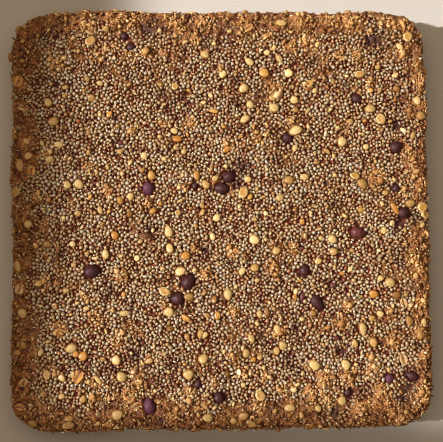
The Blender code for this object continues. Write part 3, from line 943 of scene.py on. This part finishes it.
upper = (more[:, 2] > THICKNESS / 2) & (toasting(more) > 0.8) & (rng.random(len(more)) < 0.25)
more = more[(side | upper) & ~on_drops(more, 3 * MM)]
more = spaced(more, 8.5 * MM, all_kernels.centre)[:90]
spots, ways = skin.nearest(more)
half = rng.uniform(2.2, 3.1, (len(spots), 1)) * MM
flakes = Places(spots, ways, half * (1, 0.74, 0) + (0, 0, 0.4 * MM), -0.2 * MM, tilt=0.18)
flakes = joined([flakes, hand_placed(OAT_FLAKES, skin, 0.62).flattened(0.4 * MM)])
scatter("oat_flakes", flake, flakes, flake_look(), 0.03, curled)

# Grains over the top and the sides
area = np.linalg.norm(face_normals(skin.points, skin.faces), axis=1).sum()
points = skin.random_points(int(1.1 * area / GRAIN_SPACING ** 2))
radii = GRAIN_SPACING / 2 * rng.uniform(0.68, 1.26, len(points))
spots, ways = skin.nearest(packed(skin, points, radii, 9))
toast = toasting(spots)
under = ways[:, 2] < -0.8
free = ~all_kernels.cover(spots) & ~flakes.cover(spots, 0.7)
free &= under | (rng.random(len(spots)) > 0.62 * smooth_step(0.3, 0.75, toast))
free &= under | (rng.random(len(spots)) > 0.8 * smooth_step(0.5, 0.75, darkness(spots)))
free[~under] &= ~on_drops(spots[~under], 0.5 * MM)

shown = free & ~under
count = shown.sum()
long = 1 + 0.5 * (rng.random((count, 1)) < 0.45) * rng.random((count, 1))
shape = np.concatenate([long, 0.98 / np.sqrt(long), rng.uniform(0.65, 0.9, (count, 1))], axis=1)
upright = smooth_step(0.3, 0.9, ways[shown, 2])
sunk = 0.55 * smooth_step(0.25, 0.65, toast[shown])
lift = (rng.normal(-0.15, 0.25, count) - 0.9 * (1 - upright) - sunk) * MM
grains = Places(spots[shown], ways[shown], 1.16 * radii[shown, None] * shape, lift, tilt=0.4)
patch = 0.28 * cloud(spots[shown], 9 * MM, 8.3) + 0.16 * cloud(spots[shown], 4 * MM, 2.9)
# Darker kinds gather in the dark patches, which are partly painted shade in hollows
choice = rng.random(count) + patch + 0.4 * grains.fruit_and_shade
kinds = np.digitize(choice, (0.22, 0.68, 0.92))
grain = Bead(((0.77, 0.62), (0.98, -0.17)), 6)
HULL_LOOKS = {
    "cream": grain_look("puffed_cream_millet", "b2aa94", "aca086", "9e804c"),
    "tan": grain_look("toasted_tan_millet", "b0a482", "a6906c", "947642"),
    "russet": grain_look("roasted_russet_millet", "a88a5e", "94744a", "8c6a3a"),
    "dark": grain_look("charred_dark_millet", "7e5232", "664026", "704624"),
}
for number, (kind, look) in enumerate(HULL_LOOKS.items()):
    scatter(kind + "_grains", grain, grains.keep(kinds == number), look, 0.17)

# Grains and kernels pressed flat against the tin
pressed = Bead(((0.85, 0.55),), 5)
base = free & under & (rng.random(len(free)) < 0.62)
base = Places(spots[base], ways[base], GRAIN_SPACING / 2 * np.array((1.25, 1.15, 0.3)), -0.26 * MM)
darker = rng.random(len(base.centre)) < 0.4
scatter("underside_grains", pressed, base.keep(~darker), HULL_LOOKS["tan"], 0.14)
scatter("underside_russet_grains", pressed, base.keep(darker), HULL_LOOKS["russet"], 0.14)
more = spaced(skin.random_points(400), 14 * MM)
spots, ways = skin.nearest(more)
below = ways[:, 2] < -0.8
half = rng.uniform(1.6, 2.4, (below.sum(), 1)) * MM
flattened = Places(spots[below], ways[below], half * (1.15, 0.9, 0) + (0, 0, 0.35 * MM), -0.2 * MM)
scatter("underside_kernels", split, flattened, KERNEL_LOOKS["pale"], 0.08, misshapen)

# Oat bits: a crust over the browned rim, and heaps standing on the top
bit = Bead(((0.8, 0.5), (0.85, -0.5)), 5)
more = skin.random_points(52000)
likely = smooth_step(0.25, 0.85, toasting(more)) * np.clip(0.75 + 0.5 * cloud(more, 3 * MM, 5.5), 0, 1)
likely *= np.where(more[:, 2] > THICKNESS - SHOULDER_RADIUS, 1, 0.5)
more = more[(rng.random(len(more)) < likely) & (more[:, 2] > 1 * MM)]
more = more[~all_kernels.cover(more) & ~on_drops(more, 0.6 * MM)][:6000]
spots, ways = skin.nearest(more)
upright = smooth_step(0.3, 0.9, ways[:, 2])
half = 0.5 * np.exp(rng.normal(0.45 - 0.3 * upright[:, None], 0.35, (len(spots), 1))) * MM
size = half * rng.uniform((0.9, 0.7, 0.4), (1.3, 0.95, 0.7), (len(spots), 3))
lift = (rng.uniform(-0.1, 0.8, len(spots)) - 1.1 * (1 - upright)) * MM
bits = Places(spots, ways, size, lift, tilt=0.5)
BIT_LOOK = bit_look()
scatter("oat_crust", bit, bits, BIT_LOOK, 0.22)

heap = []
for x, y, reach in OAT_HEAPS:
    count = int(1.5 * reach ** 2)
    away = reach * 0.5 * rng.normal(size=(count, 2))
    rise = 1.1 * np.exp(-(away ** 2).sum(axis=1) / (0.3 * reach ** 2)) + rng.uniform(-0.1, 0.4, count)
    heap.append(np.column_stack([(x + away[:, 0]) * MM, (y + away[:, 1]) * MM, np.full(count, THICKNESS), rise * MM]))
heap = np.concatenate(heap)
heap = heap[~all_kernels.cover(heap[:, :3], depth=3 * MM) & ~on_drops(heap[:, :3], 1.0 * MM)]
spots, ways = skin.nearest(heap[:, :3])
half = 0.5 * np.exp(rng.normal(0.45, 0.4, (len(spots), 1))) * MM
size = half * rng.uniform((0.9, 0.7, 0.5), (1.3, 1.0, 0.8), (len(spots), 3))
heaped = Places(spots, ways, size, heap[:, 3], tilt=0.5)
HEAP_LOOK = bit_look("golden_oat_bits", ("9c7038", "dcc096", "ba9058", "ceac74"))
scatter("oat_heaps", bit, heaped, HEAP_LOOK, 0.25)

# Chaff and chips lying between and on the grains
chip = Bead(((0.9, 0.1),), 5)
more = skin.random_points(9000)
more = more[(more[:, 2] > 1 * MM)]
more = more[~all_kernels.cover(more) & ~on_drops(more, 0.8 * MM)][:3600]
spots, ways = skin.nearest(more)
half = 0.5 * np.exp(rng.normal(0.1, 0.3, (len(spots), 1))) * MM
size = half * rng.uniform((1.1, 0.45, 0.3), (1.8, 0.7, 0.5), (len(spots), 3))
chips = Places(spots, ways, size, rng.uniform(0.25, 0.75, len(spots)) * MM, tilt=0.4)
scatter("millet_chaff", chip, chips, bit_look("millet_chaff", ("b89068", "f4e6c8", "d2b68e", "e8d2ac")),
        0.2)

# Syrup and crumb that holds it together
lumps = 0.55 * cloud(skin.points, 2.6 * MM, 2.2) + 0.35 * cloud(skin.points, 6 * MM, 4.4)
clump = toasting(skin.points) * np.clip(0.5 + lumps, 0, 1)
upright = smooth_step(0.3, 0.9, skin.normals[:, 2])
depth = SYRUP_DEPTH - CLUMP_RISE * clump * (1 - upright)
flat = skin.normals[:, 2] < -0.8
depth[flat] = UNDERSIDE_DEPTH
points = skin.points - skin.normals * depth[:, None]
points[:, 2] = np.maximum(points[:, 2], 0.05 * MM)
below = 0.35 + 0.35 * cloud(skin.points, 4 * MM, 5.2)
values = {"clump": np.where(flat, below, clump * (1 - upright)), "fruit_and_shade": darkness(skin.points)}
SYRUP_LOOK = crumb_look("baked_syrup_crumb", ("70300c", "bc945a", "7c4620", "a0743c"), 0.5 * MM)
core = new_piece("syrup_crumb_core", points, skin.faces, skin.map, values, SYRUP_LOOK)

# Baked oat crumb that has run together over the browned places and the heaps
cover = np.maximum(toasting(skin.points), heaping(skin.points)) * (skin.normals[:, 2] > 0.25)
chosen = np.flatnonzero(cover[skin.faces].max(axis=1) > 0.23)
spots, ways, faces, corner_map = finer(skin, chosen, CRUMB_PARTS)
heap_here = heaping(spots)
cover = smooth_step(0.2, 0.58, np.maximum(toasting(spots), 1.1 * heap_here))
cover *= smooth_step(0.25, 0.5, ways[:, 2]) * smooth_step(-0.6, 0.1, cloud(spots, 3.2 * MM, 7.2))
relief = 0.6 * pebbles(spots, 2.1 * MM) + 0.4 * pebbles(spots, 1.15 * MM) + 0.35 * cloud(spots, 6 * MM, 1.3)
height = 1.1 * cover - 1.3 + cover * (1.85 * (relief - 0.42) + 1.0 * heap_here)
height = np.where(on_drops(spots, 0.4 * MM), -1.3, height)
# Colour by height: golden on the lumps, dark in the hollows, partly as painted shade
values = {"clump": np.clip(0.5 + 0.9 * (relief - 0.6) + 0.3 * heap_here, 0, 1), "fruit_and_shade": darkness(spots)}
CRUMB_LOOK = crumb_look("baked_oat_crumb", ("321406", "ba9056", "6e4016", "94622c"), 0.4 * MM)
crumb = new_piece("baked_crumb", spots + ways * height[:, None] * MM, faces, corner_map, values, CRUMB_LOOK)
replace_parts(core, "slab")

# Dark drops
DROP_SHADES = {"plain": ("2a0d0c", "482221"), "red": ("381210", "6a322a"), "purple": ("361422", "663444")}
REDDISH = {"dark_drop_11", "dark_drop_12"}
PURPLE = {"dark_drop_02", "dark_drop_17", "dark_drop_19"}
drop_looks = {shade: drop_look("dark_drop_" + shade, *codes) for shade, codes in DROP_SHADES.items()}


def drop_frame(name):
    """Centre, long axis towards the tip, half-length and half-widths of a CAD drop."""
    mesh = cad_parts[name].data
    corners = np.array([v.co[:] for v in mesh.vertices])
    centre = (corners.max(axis=0) + corners.min(axis=0)) / 2
    _, _, axes = np.linalg.svd(corners - corners.mean(axis=0), full_matrices=False)
    local = (corners - centre) @ axes.T
    middle = (local.max(axis=0) + local.min(axis=0)) / 2
    half = (local.max(axis=0) - local.min(axis=0)) / 2
    centre = centre + middle @ axes
    local -= middle
    girth = np.hypot(local[:, 1], local[:, 2])
    if girth[local[:, 0] > half[0] / 2].mean() > girth[local[:, 0] < -half[0] / 2].mean():
        axes[0] *= -1
        local[:, 0] *= -1
    if np.linalg.det(axes) < 0:
        axes[2] *= -1
    return centre, axes, half, local, girth


def fine_drop(name, rings=22, sides=28):
    """The CAD drop turned finer, with shallow grooves drawn out towards its tip."""
    centre, axes, half, local, girth = drop_frame(name)
    order = np.argsort(local[:, 0])
    along = local[order, 0]
    levels = np.unique(np.round(along, 6))
    reach = np.array([girth[order][np.abs(along - level) < 1e-6 + 1e-9].max() for level in levels])
    turns = np.linspace(0, pi, rings + 2)[1:-1]
    profile = [(np.interp(half[0] * cos(turn), levels, reach) / half[1], cos(turn)) for turn in turns]
    body = Bead(profile, sides)
    around = np.arctan2(body.points[:, 1], body.points[:, 0])
    grooves = 0.07 if name in PURPLE else 0.03
    wave = np.sin(5 * around + 2.2 * body.points[:, 2]) + 0.6 * np.sin(9 * around - 3 * body.points[:, 2])
    body.points[:, :2] *= (1 - grooves * (1 + wave) / 2)[:, None]
    whole = Places.__new__(Places)
    whole.centre = centre[None]
    whole.axes = np.stack([axes[1], axes[2], axes[0]])[None]
    whole.size = np.array([[half[1], half[1], half[0]]])
    whole.toast, whole.fruit_and_shade, whole.tone = np.zeros(1), np.zeros(1), np.full(1, 0.5)
    return body, whole


for name in drop_names:
    shade = "red" if name in REDDISH else "purple" if name in PURPLE else "plain"
    body, whole = fine_drop(name)
    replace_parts(scatter("satin_" + name, body, whole, drop_looks[shade]), name)

# ---- stage -----------------------------------------------------------------------------

floor_mesh = bpy.data.meshes.new("floor")
floor_mesh.from_pydata([(-3, -3, 0), (3, -3, 0), (3, 3, 0), (-3, 3, 0)], [], [(0, 1, 2, 3)])
floor = bpy.data.objects.new("floor", floor_mesh)
bpy.context.scene.collection.objects.link(floor)
paper, _, shader = new_look("warm_grey_paper", roughness=0.8, ior=1.45)
shader.inputs["Base Color"].default_value = linear("b6aea2")
floor_mesh.materials.append(paper)


def panel_light(name, place, aim, size, power, colour, spread=180, roll=0):
    data = bpy.data.lights.new(name, "AREA")
    data.shape, data.energy, data.spread = "RECTANGLE", power, radians(spread)
    data.size, data.size_y = size
    data.color = linear(colour)[:3]
    light = bpy.data.objects.new(name, data)
    light.location = place
    turn = (Vector(aim) - Vector(place)).to_track_quat("-Z", "Y").to_matrix()
    light.rotation_euler = (turn @ Euler((0, 0, radians(roll))).to_matrix()).to_euler()
    bpy.context.scene.collection.objects.link(light)
    return light


# A narrow beam from the left, whose edges fall softly across the slab's left and front rims
KEY_HEIGHT, KEY_DEPTH, KEY_WIDTH, KEY_AWAY = radians(38), 0.46, 0.8, 1.0
beam_left, beam_front = -0.059, -0.102
aim = Vector((beam_left + KEY_DEPTH / 2 / sin(KEY_HEIGHT), beam_front + KEY_WIDTH / 2, THICKNESS))
place = aim + KEY_AWAY * Vector((-cos(KEY_HEIGHT), 0, sin(KEY_HEIGHT)))
key = panel_light("key", place, aim, (KEY_WIDTH, KEY_DEPTH), 2.45, "f5f8ff", spread=2.5, roll=-2)
fill = panel_light("fill", (-0.05, 0.1, 0.55), (0, 0, 0), (0.5, 0.5), 1.4, "fce6d0")

scene = bpy.context.scene
scene.world = bpy.data.worlds.new("pale_room")
scene.world.use_nodes = True
sky = scene.world.node_tree.nodes["Background"]
sky.inputs["Color"].default_value = linear("f8e0c0")
sky.inputs["Strength"].default_value = 0.2

lens = bpy.data.cameras.new("camera")
lens.lens, lens.sensor_width = 76.4, 36
camera = bpy.data.objects.new("camera", lens)
camera.rotation_euler = Euler([radians(turn) for turn in (3.29, -2.48, -0.49)])
aim = Vector((-0.25, -1.5, 22)) * MM
camera.location = aim + camera.rotation_euler.to_matrix() @ Vector((0, 0, 0.45))
scene.collection.objects.link(camera)
scene.camera = camera
scene.view_settings.view_transform = "Standard"
scene.cycles.filter_width = 0.9      # crisp grain edges
